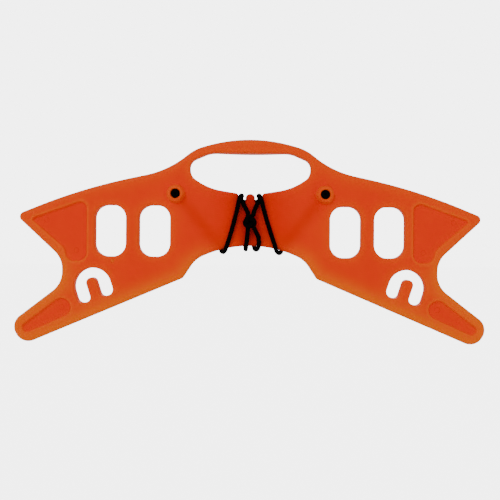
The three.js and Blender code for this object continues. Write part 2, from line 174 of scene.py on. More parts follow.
def hook_corners(arm):
    """Horseshoe hook slot, drawn upright and leant towards the plane of symmetry."""
    upright = mirrored([(18.5, 18.5, 18.4), (18.5, -13.1, 6), (5.2, -13.1, 4.8), (5.2, 9, 5.1)])
    c, s = math.cos(HOOK_LEAN), math.sin(HOOK_LEAN)
    return [(arm * (HOOK_X + u * c + v * s), HOOK_Z - u * s + v * c, r) for u, v, r in upright]


def upper_pocket_corners(arm):
    """Pocket in the upper prong."""
    inner = OUTER_SLOT_X + SLOT_WIDTH / 2 + 7.3
    right = [
        (inner, -53, 7),
        (218.7, -73.2, 2.5),
        (185, -102.3, 10),
        (181.4, -115.6, 9),
        (inner, -115.6, 9),
    ]
    return [(arm * x, z, radius) for x, z, radius in right]


def lower_pocket_corners(arm):
    """Teardrop pocket in the lower prong: the belt round a large circle and a small one, drawn as a
    four-sided figure whose sides touch both circles, with their radii at its two ends."""
    large = np.array([FORK_X, 33.9 - DROP])
    small = np.array([TIP_X - 14.1, 14.1 - DROP])
    large_radius = 9.7
    small_radius = 5.2
    gap = np.linalg.norm(small - large)
    along = (small - large) / gap
    across = np.array([-along[1], along[0]])
    lean = math.asin((large_radius - small_radius) / gap)
    circles = [
        (large, large_radius, -1, 1),
        (small, small_radius, 1, 1),
        (small, small_radius, 1, -1),
        (large, large_radius, -1, -1),
    ]
    hair_less = 0.999  # two arcs that share a side then never overlap on it
    corners = []
    for centre, radius, end, side in circles:
        reach = radius / math.tan((math.pi / 2 + end * lean) / 2)
        corner = centre + along * end * radius + across * side * reach
        corners.append((arm * corner[0], corner[1], radius * hair_less))
    return corners


# ---- Outlines ----------------------------------------------------------------------------------


def length_of(vectors):
    """Length of each vector in an array, kept as a last axis of one."""
    return np.linalg.norm(vectors, axis=-1, keepdims=True)


def rounded_outline(corners, longest=1.3, widest_turn=math.radians(9)):
    """Closed outline from corners (x, z, radius). Each corner gives way to the arc that touches both
    of its sides, its centre on the bisector at radius / sin(half the corner's angle), and two arcs
    that want more of a side than it has share it. The line is then stepped anew: every step uses up
    the same share, at most one, of its length over the longest plus its turn over the widest turn."""
    table = np.array(corners, float)
    point, radius = table[:, :2], table[:, 2:]
    back, ahead = np.roll(point, 1, 0) - point, np.roll(point, -1, 0) - point
    u, v = back / length_of(back), ahead / length_of(ahead)
    half = np.arccos(np.clip((u * v).sum(1, keepdims=True), -1, 1)) / 2
    reach = radius / np.tan(half)
    fit_back = length_of(back) / (reach + np.roll(reach, 1, 0))
    fit_ahead = length_of(ahead) / (reach + np.roll(reach, -1, 0))
    radius = radius * np.minimum(1, np.minimum(fit_back, fit_ahead))
    centre = point + (u + v) / length_of(u + v) * radius / np.sin(half)
    start = point + u * radius / np.tan(half) - centre
    side = np.sign(v[:, 0] * u[:, 1] - v[:, 1] * u[:, 0])[:, None]
    turn = side * (math.pi - 2 * half)
    angle = turn * np.linspace(0, 1, 41)
    x = centre[:, :1] + start[:, :1] * np.cos(angle) - start[:, 1:] * np.sin(angle)
    z = centre[:, 1:] + start[:, :1] * np.sin(angle) + start[:, 1:] * np.cos(angle)
    line = np.stack([x, z], -1).reshape(-1, 2)
    line = line[length_of(line - np.roll(line, 1, 0))[:, 0] > 1e-4]
    closed = np.vstack([line, line[:1]])
    step = closed[1:] - closed[:-1]
    heading = np.unwrap(np.arctan2(step[:, 1], step[:, 0]))
    turns = np.round((heading[-1] - heading[0]) / (2 * math.pi))
    bend = np.abs(np.diff(heading, append=heading[0] + turns * 2 * math.pi))
    cost = length_of(step)[:, 0] / longest + (bend + np.roll(bend, 1)) / 2 / widest_turn
    reached = np.concatenate([[0], np.cumsum(cost)])
    count = int(math.ceil(reached[-1]))
    wanted = np.linspace(0, reached[-1], count, endpoint=False)
    return np.stack([np.interp(wanted, reached, closed[:, k]) for k in (0, 1)], -1)


def outward(line):
    """Unit normals of a closed outline, pointing out of what it encloses: each step between a point's
    two neighbours, turned a quarter, on the side that the signed area says is outside."""
    along = np.roll(line, -1, 0) - np.roll(line, 1, 0)
    normal = np.stack([along[:, 1], -along[:, 0]], -1) / length_of(along)
    following = np.roll(line, -1, 0)
    area = (line[:, 0] * following[:, 1] - line[:, 1] * following[:, 0]).sum()
    return normal * np.sign(area)


def inside(points, line):
    """Which points lie in a closed outline, by the even-odd rule along +X."""
    a, b = line, np.roll(line, -1, 0)
    z = points[:, 1:2]
    crosses = (a[:, 1] > z) != (b[:, 1] > z)
    rise = np.where(b[:, 1] == a[:, 1], 1e-12, b[:, 1] - a[:, 1])
    at = a[:, 0] + (z - a[:, 1]) / rise * (b[:, 0] - a[:, 0])
    return (crosses & (points[:, :1] < at)).sum(1) % 2 == 1


def distance_to(points, others):
    """Distance from each point to the nearest of the others, in blocks to spare memory."""
    blocks = np.array_split(points, max(1, len(points) // 2000))
    return np.concatenate([length_of(b[:, None] - others[None]).min(1)[:, 0] for b in blocks])


# ---- Meshes ------------------------------------------------------------------------------------


class Patches:
    """A mesh put together from patches whose edges coincide."""

    def __init__(self):
        self.points = []
        self.faces = []
        self.count = 0

    def add(self, points, faces):
        """Takes in points and faces that number them from nought."""
        self.points.append(points)
        self.faces += (faces + self.count).tolist()
        self.count += len(points)

    def add_rows(self, rows, closed=True):
        """A grid of rows of points, as quads; each row closes on itself where closed."""
        rows = np.array(rows)
        tall, wide = rows.shape[:2]
        number = np.arange(tall * wide).reshape(tall, wide)
        across = np.roll(number, -1, 1)
        last = wide if closed else wide - 1
        quads = np.stack([number[:-1], across[:-1], across[1:], number[1:]], -1)[:, :last]
        self.add(rows.reshape(-1, 3), quads.reshape(-1, 4))

    def finished(self, name, weld=0.004):
        """The mesh in metres, its patches welded and its faces turned outwards."""
        mesh = bpy.data.meshes.new(name)
        mesh.from_pydata((np.vstack(self.points) * MM).tolist(), [], self.faces)
        shape = bmesh.new()
        shape.from_mesh(mesh)
        bmesh.ops.remove_doubles(shape, verts=shape.verts, dist=weld * MM)
        bmesh.ops.recalc_face_normals(shape, faces=shape.faces)
        shape.to_mesh(mesh)
        shape.free()
        mesh.shade_smooth()
        return mesh


def store(mesh, name, values):
    """Keeps one number for each vertex."""
    layer = mesh.attributes.new(name, "FLOAT", "POINT")
    layer.data.foreach_set("value", np.ascontiguousarray(values, np.float32))


def shown(name, mesh, finish, slot, *nodes):
    """Puts a piece in the scene: it rides on the one body and stands for the CAD nodes, if any."""
    piece = bpy.data.objects.new(name, mesh)
    bpy.context.scene.collection.objects.link(piece)
    mesh.materials.append(finish)
    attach(piece, "root")
    if nodes:
        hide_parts(*nodes)


def at_depth(line, y):
    """An outline in X and Z as points at one depth."""
    return np.stack([line[:, 0], np.full(len(line), float(y)), line[:, 1]], -1)


def quarter(count):
    """Angles from 0 to a quarter turn."""
    return np.linspace(0, math.pi / 2, count)


def rim_profile(radius):
    """(inset, depth) from the front face round to the back face: a quarter circle, the wall with a
    hair-fine parting line at its middle, and a quarter circle."""
    front = [(radius * (1 - math.sin(a)), -HALF + radius * (1 - math.cos(a))) for a in quarter(8)]
    wall = [(0, -0.5), (0, -0.2), (0.1, 0)]
    half = front + wall
    return half + [(inset, -depth) for inset, depth in half[-2::-1]]


def carried_rim(line, profile, into):
    """A profile of (inset, depth) carried along an outline: each row is the outline moved along its
    normals by the inset, into the material, and set at the depth."""
    normal = outward(line) * into
    return [at_depth(line + normal * inset, depth) for inset, depth in profile]


def face_patch(patches, rim, holes, y, spacing=2.6):
    """A flat face between its rim and its holes, triangulated on their own points and a staggered
    grid of points inside."""
    loops = [rim] + holes
    outline = np.vstack(loops)
    low, high = rim.min(0), rim.max(0)
    columns = np.arange(low[0], high[0], spacing)
    rows = np.arange(low[1], high[1], spacing * math.sqrt(3) / 2)
    x, z = np.meshgrid(columns, rows)
    x = x + (np.arange(len(rows)) % 2)[:, None] * spacing / 2
    grid = np.stack([x.ravel(), z.ravel()], -1)

    def within(points):
        """Which points lie inside the rim and outside every hole."""
        keep = inside(points, rim)
        for hole in holes:
            keep &= ~inside(points, hole)
        return keep

    grid = grid[within(grid)]
    grid = grid[distance_to(grid, outline) > spacing * 0.55]
    starts = np.cumsum([0] + [len(loop) for loop in loops])
    numbers = [np.arange(start, end) for start, end in zip(starts, starts[1:])]
    edges = np.vstack([np.stack([number, np.roll(number, -1)], -1) for number in numbers])
    flat = np.vstack([outline, grid])
    found = geometry.delaunay_2d_cdt(flat.tolist(), edges.tolist(), [], 0, 1e-6)
    points, triangles = np.array(found[0], float).reshape(-1, 2), np.array(found[2], int)
    middle = points[triangles].mean(1)
    patches.add(at_depth(points, y), triangles[within(middle)])


POCKET_PROFILE = [  # offset out of the pocket, depth below the face
    (0.8, 0), (0.42, 0.05), (0.16, 0.2), (0, 0.45), (-0.25, 1), (-0.6, 1.8), (-0.85, 2.35),
    (-1.05, 2.68), (-1.35, 2.9), (-1.8, 2.98), (-2.1, POCKET_DEPTH),
]


def pocket_patches(patches, line, face):
    """A pocket sunk into one face (-1 front, 1 back): a rounded lip, a leaning wall, a fillet and
    a flat floor. Returns the loop where it meets the face."""
    normal = outward(line)
    loops = [line + normal * offset for offset, _ in POCKET_PROFILE]
    rows = [at_depth(loop, face * (HALF - depth)) for loop, (_, depth) in zip(loops, POCKET_PROFILE)]
    patches.add_rows(rows)
    face_patch(patches, loops[-1], [], face * (HALF - POCKET_DEPTH), 3)
    return loops[0]


BOSS_SIDES = 72
BOSS_PROFILE = [  # radius, depth, how six-sided
    (9.9, -6, 1), (9.4, -6.06, 1), (9, -6.3, 1), (8.75, -6.75, 1), (8.6, -7.5, 1), (8.4, -8.5, 0.9),
    (8.0, -9.7, 0.6), (7.7, -10.6, 0.3), (7.35, -11.1, 0.1), (7, -11.38, 0), (6.5, -11.5, 0),
    (5.5, -11.5, 0), (5.05, -11.42, 0), (4.8, -11.1, 0), (4.8, -9, 0), (4.8, -6.5, 0), (4.8, -4.8, 0),
    (4.5, -4.5, 0), (3.4, -4.5, 0), (2.7, -4.5, 0), (2.55, -4.3, 0), (2.55, -2, 0), (2.55, 0.4, 0),
]


def boss_patches(patches, x):
    """A collar turned about an axis along Y: its foot is slightly six-sided, radius times
    (1 + 0.045 cos 6 angle), and its bore narrows to the cord's and flares as a quarter circle at the
    back. Returns the loops where it meets the front and the back face."""
    bore, round_off = BOSS_PROFILE[-1][0], 4
    flare = [
        (bore + round_off * (1 - math.cos(a)), HALF - round_off * (1 - math.sin(a)), 0)
        for a in quarter(9)
    ]
    turn = np.linspace(0, 2 * math.pi, BOSS_SIDES, endpoint=False)
    rows = []
    for radius, depth, six in BOSS_PROFILE + flare:
        reach = radius * (1 + 0.045 * six * np.cos(6 * turn))
        circle = np.stack([x + reach * np.cos(turn), BOSS_Z + reach * np.sin(turn)], -1)
        rows.append(at_depth(circle, depth))
    patches.add_rows(rows)
    return rows[0][:, ::2], rows[-1][:, ::2]


def plate_outlines():
    """The outlines in the plate: its outer edge, its openings and its pockets."""
    openings = [rounded_outline(opening_corners())]
    for arm in (1, -1):
        for x in (INNER_SLOT_X, OUTER_SLOT_X):
            openings.append(rounded_outline(slot_corners(arm * x)))
        openings.append(rounded_outline(hook_corners(arm)))
    pockets = [rounded_outline(upper_pocket_corners(arm)) for arm in (1, -1)]
    pockets += [rounded_outline(lower_pocket_corners(arm)) for arm in (1, -1)]
    return rounded_outline(plate_corners()), openings, pockets


def flat_plate(edge, openings, pockets):
    """The plate before its grip swells: rims are carried along the outlines and the two faces fill
    what lies between them."""
    patches = Patches()
    rows = carried_rim(edge, rim_profile(EDGE_ROUND), -1)
    patches.add_rows(rows)
    outer = rows[0][:, ::2]
    holes = []
    for line in openings:
        rows = carried_rim(line, rim_profile(RIM_ROUND), 1)
        patches.add_rows(rows)
        holes.append(rows[0][:, ::2])
    bosses = [boss_patches(patches, arm * BOSS_X) for arm in (1, -1)]
    for face in (-1, 1):
        lips = [pocket_patches(patches, line, face) for line in pockets]
        feet = [boss[0 if face < 0 else 1] for boss in bosses]
        face_patch(patches, outer, holes + lips + feet, face * HALF)
    return patches.finished("moulded_plate")


def places_of(mesh):
    """A mesh's vertices in millimetres."""
    place = np.empty(len(mesh.vertices) * 3)
    mesh.vertices.foreach_get("co", place)
    return place.reshape(-1, 3) / MM


def swollen_grip(place):
    """Places with the grip's depth grown by GRIP_BULGE / HALF times (1 - (x / 42)^2)^1.4, and its
    underside sunk by as much of GRIP_BULGE_DROP."""
    grip = place[:, 2] > -20
    grow = np.clip(1 - (place[:, 0] / GRIP_BULGE_HALF) ** 2, 0, 1) ** 1.4 * grip
    underside = np.clip((2 - place[:, 2]) / 8, 0, 1)
    moved = place.copy()
    moved[:, 1] *= 1 + GRIP_BULGE / HALF * grow
    moved[:, 2] -= GRIP_BULGE_DROP * grow * underside
    return moved


# Reaches over which the plate's painted glow, highlights and shade fade.
EDGE_REACH = 4.5  # distances in which the plate's tints fade
OUTER_REACH = 11
LIP_REACH = 0.9
CORD_REACH = 7
KNOT_REACH = 13
# Places round which shade is painted on the plate under the knot.
KNOT_PLACES = [(-0.4, -74.7), (0, -62), (0, -54), (1.5, -88)]  # where the knot and its loop lie


def tint_plate(mesh, flat, depth, edge, openings, pockets):
    """Keeps what the plate's finish needs to know of each vertex, from its place in X and Z and its
    depth: how near it is to an edge, a lip, the cord or the knot, and whether it is on a pocket, a
    boss or the waist. These are the masks of the plate's painted light and shade: a painted glow
    along the edges, painted highlights on the lips and bosses, and painted shade in the pockets, by
    the cord and the knot and across the waist. Nearness is e to the minus distance over reach at the
    edges, and e to the minus square of distance over reach elsewhere."""

    def nearness(others, reach):
        """How near each vertex is to some lines or places, from 0 to 1."""
        return np.exp(-((distance_to(flat, np.vstack(others)) / reach) ** 2))

    # Painted glow: nearness to the edges, which the finish turns into painted light along them.
    store(mesh, "painted_edge_glow", np.exp(-distance_to(flat, np.vstack([edge] + openings)) / EDGE_REACH))
    store(mesh, "painted_outer_glow", nearness([edge], OUTER_REACH))
    sunk = np.zeros(len(flat), bool)
    for line in pockets:
        sunk |= inside(flat, line + outward(line) * 0.5)
    # Painted highlight: nearness to the pocket lips, which the finish lightens.
    lips = [line + outward(line) * 0.3 for line in pockets]
    store(mesh, "lip", nearness(lips, LIP_REACH))
    # Painted highlight: the boss collars, which the finish lightens.
    from_boss = length_of(np.abs(flat) * (1, 0) + flat * (0, 1) - (BOSS_X, BOSS_Z))[:, 0]
    store(mesh, "collar", (from_boss < 9) * (from_boss > 4) * (depth < -6.2))
    # Painted shade: how deep a vertex lies in a pocket, which the finish darkens.
    store(mesh, "painted_recess_shade", sunk * np.clip((HALF - np.abs(depth)) / POCKET_DEPTH, 0, 1))
    # Painted shade: nearness to the cord runs behind the plate, which the finish darkens where the cord
    # shades the plastic.
    routes = (RIGHT_ROUTE, LEFT_ROUTE, LOOP_ROUTE)
    cords = np.vstack([route_curve(route, 200)[0] for route in routes])
    behind = cords[cords[:, 1] > 5][:, ::2]
    store(mesh, "painted_cord_shade", nearness([behind], CORD_REACH))
    # Painted shade: nearness to the centre knot and its loop, which the finish darkens.
    store(mesh, "painted_knot_shade", nearness([np.array(KNOT_PLACES)], KNOT_REACH))
    # Painted shade: the middle of the waist, which the finish darkens where the cords cross behind it.
    store(mesh, "waist", np.exp(-((flat[:, 0] / 42) ** 4)) * (flat[:, 1] < -30))


def plate_mesh():
    """The whole moulding, tinted vertex by vertex."""
    edge, openings, pockets = plate_outlines()
    mesh = flat_plate(edge, openings, pockets)
    place = places_of(mesh)
    moved = swollen_grip(place)
    mesh.vertices.foreach_set("co", (moved * MM).ravel())
    tint_plate(mesh, place[:, ::2], moved[:, 1], edge, openings, pockets)
    mesh.update()
    return mesh


def nib_mesh():
    """The gate's nib, a low dome turned about an axis along Y."""
    patches = Patches()
    turn = np.linspace(0, 2 * math.pi, 28, endpoint=False)
    rows = []
    for radius, depth in NIB_PROFILE:
        circle = [GATE_NIB[0] + radius * np.cos(turn), GATE_NIB[1] + radius * np.sin(turn)]
        rows.append(at_depth(np.stack(circle, -1), depth))
    patches.add_rows(rows)
    disc = np.array([np.arange(len(turn))])
    patches.add(rows[0], disc)
    patches.add(rows[-1], disc)
    mesh = patches.finished("gate_nib")
    # The whole nib takes the collar's painted highlight, so it reads lighter.
    store(mesh, "collar", np.ones(len(mesh.vertices)))
    return mesh


# ---- Cords and knots ---------------------------------------------------------------------------


def route_curve(route, count):
    """Points and unit tangents, evenly spaced along the smooth curve through a route's points: between
    two points the curve is the cubic whose end slopes are the centripetal Catmull-Rom ones."""
    p = np.array(route, float)
    p = np.vstack([2 * p[0] - p[1], p, 2 * p[-1] - p[-2]])
    gap = np.sqrt(length_of(p[1:] - p[:-1]))
    d0, d1, d2 = gap[:-2], gap[1:-1], gap[2:]
    p0, p1, p2, p3 = p[:-3], p[1:-2], p[2:-1], p[3:]
    m1 = ((p1 - p0) / d0 - (p2 - p0) / (d0 + d1) + (p2 - p1) / d1) * d1
    m2 = ((p2 - p1) / d1 - (p3 - p1) / (d1 + d2) + (p3 - p2) / d2) * d1
    t = np.linspace(0, 1, 40, endpoint=False)[:, None, None]
    near_end = (2 * t**3 - 3 * t**2 + 1) * p1 + (t**3 - 2 * t**2 + t) * m1
    cubic = near_end + (3 * t**2 - 2 * t**3) * p2 + (t**3 - t**2) * m2
    line = np.vstack([cubic.transpose(1, 0, 2).reshape(-1, 3), p[-2]])
    reached = np.concatenate([[0], np.cumsum(length_of(line[1:] - line[:-1])[:, 0])])
    wanted = np.linspace(0, reached[-1], count)
    points = np.stack([np.interp(wanted, reached, line[:, k]) for k in range(3)], -1)
    tangent = np.gradient(points, axis=0)
    return points, tangent / length_of(tangent)


CELLS_ROUND = 6  # cells of the braid round the cord, which is half its number of strands
CELL = 1.35  # length of a cell along the cord
BRAID_RELIEF = 0.09  # depth of the braid's valleys
END_ROUNDING = 1.6  # length over which an open end is rounded off
STATION_SPACING = 0.33  # distance between the circles that a run is made of


def braid_height(along, around):
    """Height of the braid from 0 to 1 at a place in cells along and around. Two families of strands
    run along the diagonals p = along + around and q = along - around. They take turns on top, in a
    chequer of whole numbers of p and q, and the one on top is a half sine across and dips at its ends."""
    p, q = along + around, along - around
    fp, fq = p - np.floor(p), q - np.floor(q)
    top = (np.floor(p) + np.floor(q)) % 2 < 0.5
    across, lengthwise = np.where(top, fp, fq), np.where(top, fq, fp)
    return np.sin(math.pi * across) ** 0.7 * (0.55 + 0.45 * np.sin(math.pi * lengthwise))


def braided_tube(points, tangent, radius, reference, closed, sides=48):
    """Braided cord round a line: at each station a circle in the plane across the tangent, on the
    axes reference x tangent and tangent x that, with its radius drawn in where the braid is low. An
    open end is rounded off to a pole."""
    step = length_of(points[1:] - points[:-1])[:, 0]
    reached = np.concatenate([[0], np.cumsum(step)])
    turn = np.linspace(0, 2 * math.pi, sides, endpoint=False)
    axis_a = np.cross(reference, tangent)
    axis_a /= length_of(axis_a)
    axis_b = np.cross(tangent, axis_a)
    cells = reached[:, None] / CELL
    if closed:
        cells = cells * round(reached[-1] / CELL) / (reached[-1] / CELL)
    relief = braid_height(cells, turn[None] * CELLS_ROUND / (2 * math.pi))
    reach = np.full(cells.shape, float(radius))
    if not closed:
        from_end = np.minimum(reached, reached[-1] - reached)[:, None]
        short_of_full = 1 - np.minimum(from_end / END_ROUNDING, 1)
        reach = radius * np.sqrt(np.clip(1 - short_of_full**2, 0.0001, 1))
    reach = reach - BRAID_RELIEF * (1 - relief) * (reach / radius)
    cosine, sine = np.cos(turn)[None, :, None], np.sin(turn)[None, :, None]
    ring = axis_a[:, None] * cosine + axis_b[:, None] * sine
    surface = points[:, None] + ring * reach[..., None]
    return surface, cells


def cord_mesh(name, line, closed=False):
    """A mesh of a braided tube, with a UV map in braid cells: U along and V around. A closed tube has
    one more row of faces, 0.3 of a cell long in the map; an open one has a face at each end."""
    points, tangent, radius, reference = line
    surface, cells = braided_tube(points, tangent, radius, np.array(reference, float), closed)
    tall, wide = surface.shape[:2]
    number = np.arange(tall * wide).reshape(tall, wide)
    across = np.roll(number, -1, 1)
    quads = np.stack([number[:-1], across[:-1], across[1:], number[1:]], -1)
    faces = quads.reshape(-1, 4).tolist()
    around = np.arange(wide + 1) * CELLS_ROUND / wide

    def mapped(u0, u1):
        """The four corners of each face in the map, between two values along the tube."""
        v0, v1 = np.broadcast_to(around[:-1], u0.shape), np.broadcast_to(around[1:], u0.shape)
        corners = [(u0, v0), (u0, v1), (u1, v1), (u1, v0)]
        return np.stack([np.stack(corner, -1) for corner in corners], -2).reshape(-1, 2)

    u = np.broadcast_to(cells, (tall, wide))
    uv = mapped(u[:-1], u[1:])
    if closed:
        faces += np.stack([number[-1], across[-1], across[0], number[0]], -1).tolist()
        ends = mapped(u[-1], u[-1] + 0.3)
    else:
        faces += [number[0][::-1].tolist(), number[-1].tolist()]
        ends = np.zeros((2 * wide, 2))
    mesh = bpy.data.meshes.new(name)
    mesh.from_pydata((surface.reshape(-1, 3) * MM).tolist(), [], faces)
    layer = mesh.uv_layers.new(name="braid")
    layer.data.foreach_set("uv", np.vstack([uv, ends]).ravel())
    shape = bmesh.new()
    shape.from_mesh(mesh)
    bmesh.ops.recalc_face_normals(shape, faces=shape.faces)
    shape.to_mesh(mesh)
    shape.free()
    mesh.shade_smooth()
    return mesh


def run_line(route, reference, into_knot=0):
    """A route as a line for a tube, carried on into the knot by so much at its end."""
    points = np.array(route, float)
    if into_knot:
        ahead = points[-1] - points[-2]
        points = np.vstack([points, points[-1] + ahead / np.linalg.norm(ahead) * into_knot])
    length = length_of(points[1:] - points[:-1]).sum()
    line, tangent = route_curve(points, int(length / STATION_SPACING))
    return line, tangent, CORD_RADIUS, reference


def knot_line(centre, ring, swing, depth, radius, turn=0.0, squash=1.0):
    """A three-lobed closed knot that faces -Y: going twice round the centre, the distance from it is
    ring + swing cos 3t and the depth is depth sin 3t. Turn sets it askew, and squash scales it in Z."""
    t = np.linspace(0, 2 * math.pi, 260, endpoint=False)
    reach = ring + swing * np.cos(3 * t)
    x = reach * np.cos(2 * t + turn)
    z = reach * np.sin(2 * t + turn) * squash
    points = np.stack([centre[0] + x, centre[1] - depth * np.sin(3 * t), centre[2] + z], -1)
    tangent = np.roll(points, -1, 0) - np.roll(points, 1, 0)
    return points, tangent / length_of(tangent), radius, (0.12, 1, 0.07)


# ---- Finishes ----------------------------------------------------------------------------------


class Value:
    """A number or colour that a node gives. Arithmetic on it adds Math nodes."""

    def __init__(self, finish, socket):
        self.finish = finish
        self.socket = socket

    def math(self, operation, *others):
        inputs = dict(enumerate((self,) + others))
        return self.finish.node("ShaderNodeMath", {"operation": operation}, inputs)

    def __add__(self, other):
        return self.math("ADD", other)

    __radd__ = __add__

    def __mul__(self, other):
        return self.math("MULTIPLY", other)

    __rmul__ = __mul__

    def __sub__(self, other):
        return self.math("SUBTRACT", other)

    def __rsub__(self, other):
        return self.finish.node("ShaderNodeMath", {"operation": "SUBTRACT"}, {0: other, 1: self})

    def __pow__(self, other):
        return self.math("POWER", other)


class Finish:
    """A material in the making."""

    def __init__(self, name):
        self.material = bpy.data.materials.new(name)
        self.material.use_nodes = True
        self.tree = self.material.node_tree
        self.tree.nodes.clear()

    def node(self, kind, settings=None, inputs=None, output=0):
        """Adds a node: its settings are set first, then the values or links of its sockets."""
        node = self.tree.nodes.new(kind)
        for name, setting in (settings or {}).items():
            setattr(node, name, setting)
        for key, value in (inputs or {}).items():
            if isinstance(value, Value):
                self.tree.links.new(value.socket, node.inputs[key])
            else:
                node.inputs[key].default_value = value
        return Value(self, node.outputs[output]) if len(node.outputs) else node

    def attribute(self, name):
        """The number kept for each vertex under a name."""
        return self.node("ShaderNodeAttribute", {"attribute_name": name}, output="Fac")

    def parts(self, vector):
        """The three numbers of a vector."""
        split = self.node("ShaderNodeSeparateXYZ", {}, {0: vector})
        return [Value(self, socket) for socket in split.socket.node.outputs]

    def noise(self, scale, detail=2.0, where=None):
        """Smooth noise from 0 to 1, with so many waves to the metre."""
        where = where or self.node("ShaderNodeTexCoord", output="Object")
        return self.node("ShaderNodeTexNoise", {}, {"Vector": where, "Scale": scale, "Detail": detail})

    def mixed(self, share, first, second):
        """One colour turned into another by a share from 0 to 1."""
        settings = {"data_type": "RGBA", "clamp_factor": True}
        return self.node("ShaderNodeMix", settings, {0: share, 6: first, 7: second}, 2)

    def spread(self, value, low, high, out_low=0.0, out_high=1.0):
        """A value between two limits made one between two others, smoothly."""
        settings = {"interpolation_type": "SMOOTHSTEP"}
        limits = {"From Min": low, "From Max": high, "To Min": out_low, "To Max": out_high}
        return self.node("ShaderNodeMapRange", settings, {"Value": value, **limits})

    def done(self, colour, roughness, height, distance, strength=1.0, **fixed):
        """Ends in a Principled shader whose own sockets hold what is the same all over."""
        waves = {"Height": height, "Distance": distance, "Strength": strength}
        bump = self.node("ShaderNodeBump", {}, waves)
        inputs = {"Base Color": colour, "Roughness": roughness, "Normal": bump}
        inputs.update({name.replace("_", " "): value for name, value in fixed.items()})
        shader = self.node("ShaderNodeBsdfPrincipled", {}, inputs)
        self.node("ShaderNodeOutputMaterial", {}, {"Surface": shader})
        return self.material


def orange_plastic():
    """Signal-orange moulded plastic: deeper, as painted shade, where it is backed by cord, sunk in a
    pocket, under the knot or across the waist; lighter and yellower along its edges as a painted glow,
    most of all low down; lighter on the pocket lips, boss collars and nib as painted highlights; with a
    fine spark-eroded grain, faint sink marks and ejector-pin rings."""
    f = Finish("orange_plastic")
    edge, outer = f.attribute("painted_edge_glow"), f.attribute("painted_outer_glow")
    painted_recess_shade, cord = f.attribute("painted_recess_shade"), f.attribute("painted_cord_shade")
    knot, waist = f.attribute("painted_knot_shade"), f.attribute("waist")
    where = f.node("ShaderNodeTexCoord", output="Object")
    x, y, z = f.parts(where)
    cloud = f.noise(22.0, 3.0, where)
    colour = f.mixed(f.spread(cloud, 0.3, 0.7), (0.92, 0.034, 0.0, 1), (0.95, 0.044, 0.0, 1))
    # Painted glow: lighter and yellower along the edges, as light shining through the plastic makes them.
    colour = f.mixed(edge * 0.65, colour, (0.96, 0.110, 0.0, 1))
    # Painted glow: stronger along the outer edge, and most of all low down on the plate.
    painted_low_edge_glow = f.spread(z, -0.05, -0.16)
    colour = f.mixed(outer * (0.12 + 0.6 * painted_low_edge_glow), colour, (1.0, 0.185, 0.0, 1))
    # Painted shade: the pocket floors darker and redder.
    colour = f.mixed(painted_recess_shade * 0.5, colour, (0.90, 0.028, 0.0, 1))
    # Painted highlight: a thin lighter line along the pocket lips.
    colour = f.mixed(f.attribute("lip") * 0.75, colour, (1.0, 0.135, 0.002, 1))
    # Painted highlight: the boss collars and the gate nib lighter.
    colour = f.mixed(f.attribute("collar") * 0.9, colour, (1.0, 0.115, 0.002, 1))
    # Painted shade: the middle of the waist darker.
    colour = f.mixed(waist * 0.7, colour, (0.82, 0.008, 0.0, 1))
    # Painted shade: darker where cord lies behind the plate.
    colour = f.mixed(cord * 0.35, colour, (0.62, 0.002, 0.0, 1))
    # Painted shade: darkest under the centre knot.
    colour = f.mixed(knot * 0.6, colour, (0.52, 0.001, 0.0, 1))
    rings = 0.0
    front = f.spread(y, -0.001, -0.002)
    side = x.math("ABSOLUTE")
    for centre_x, centre_z, radius in EJECTOR_MARKS:
        off_x, off_z = side - centre_x * MM, z - centre_z * MM
        away = (off_x * off_x + off_z * off_z).math("SQRT")
        from_ring = (away - radius * MM).math("ABSOLUTE")
        rings = f.spread(from_ring, 0.00035, 0.0, 0.0, 0.5) * front + rings
    colour = f.mixed(rings * 1.1, colour, (0.70, 0.012, 0.0, 1))
    grain = f.noise(2600.0, 2.0, where)
    sink = f.noise(45.0, 1.0, where)
    height = grain * 0.10 + sink * 1.1 - rings
    roughness = 0.36 + 0.12 * f.noise(300.0, 2.0, where)
    return f.done(
        colour, roughness, height, 0.0004, 0.55,
        Subsurface_Weight=0.25, Subsurface_Radius=(1.0, 0.22, 0.06), Subsurface_Scale=0.004,
        Specular_IOR_Level=0.04,
    )


FIBRES = 5  # ridges across a strand


def braid_finish(name, body, painted_glint):
    """Black braided sheath: strands as in braid_height, each of a few fibres, with a painted highlight on
    its crowns.
    """
    f = Finish(name)
    uv = f.node("ShaderNodeUVMap", {"uv_map": "braid"})
    u, v, _ = f.parts(uv)
    p, q = u + v, u - v
    fp, fq = p.math("FRACT"), q.math("FRACT")
    top = (p.math("FLOOR") + q.math("FLOOR")).math("FLOORED_MODULO", 2.0).math("LESS_THAN", 0.5)
    across = top * fp + (1 - top) * fq
    lengthwise = top * fq + (1 - top) * fp
    crown = (across * math.pi).math("SINE") ** 0.7
    height = crown * (0.55 + 0.45 * (lengthwise * math.pi).math("SINE"))
    fibres = (across * (2 * math.pi * FIBRES)).math("SINE") * 0.06
    fluff_and_glint = f.noise(2200.0, 3.0)
    # Painted highlight: the strands' crowns lighter, where the noise lets it show.
    colour = f.mixed(height * fluff_and_glint * 1.3, body, painted_glint)
    roughness = 0.92 - 0.22 * height
    return f.done(
        colour, roughness, height + fibres + fluff_and_glint * 0.2, 0.00018, 0.8,
        Specular_IOR_Level=0.03,
    )


def rubber_finish():
    """Natural rubber strands: tan, slightly mottled, with fine lengthwise ribs."""
    f = Finish("tan_rubber")
    mottle = f.noise(500.0, 3.0)
    colour = f.mixed(mottle, (0.42, 0.31, 0.18, 1), (0.56, 0.43, 0.26, 1))
    return f.done(colour, 0.5 + 0.2 * mottle, mottle + f.noise(2400.0), 0.0001, Specular_IOR_Level=0.4)


# ---- Pieces ------------------------------------------------------------------------------------

ORANGE = orange_plastic()
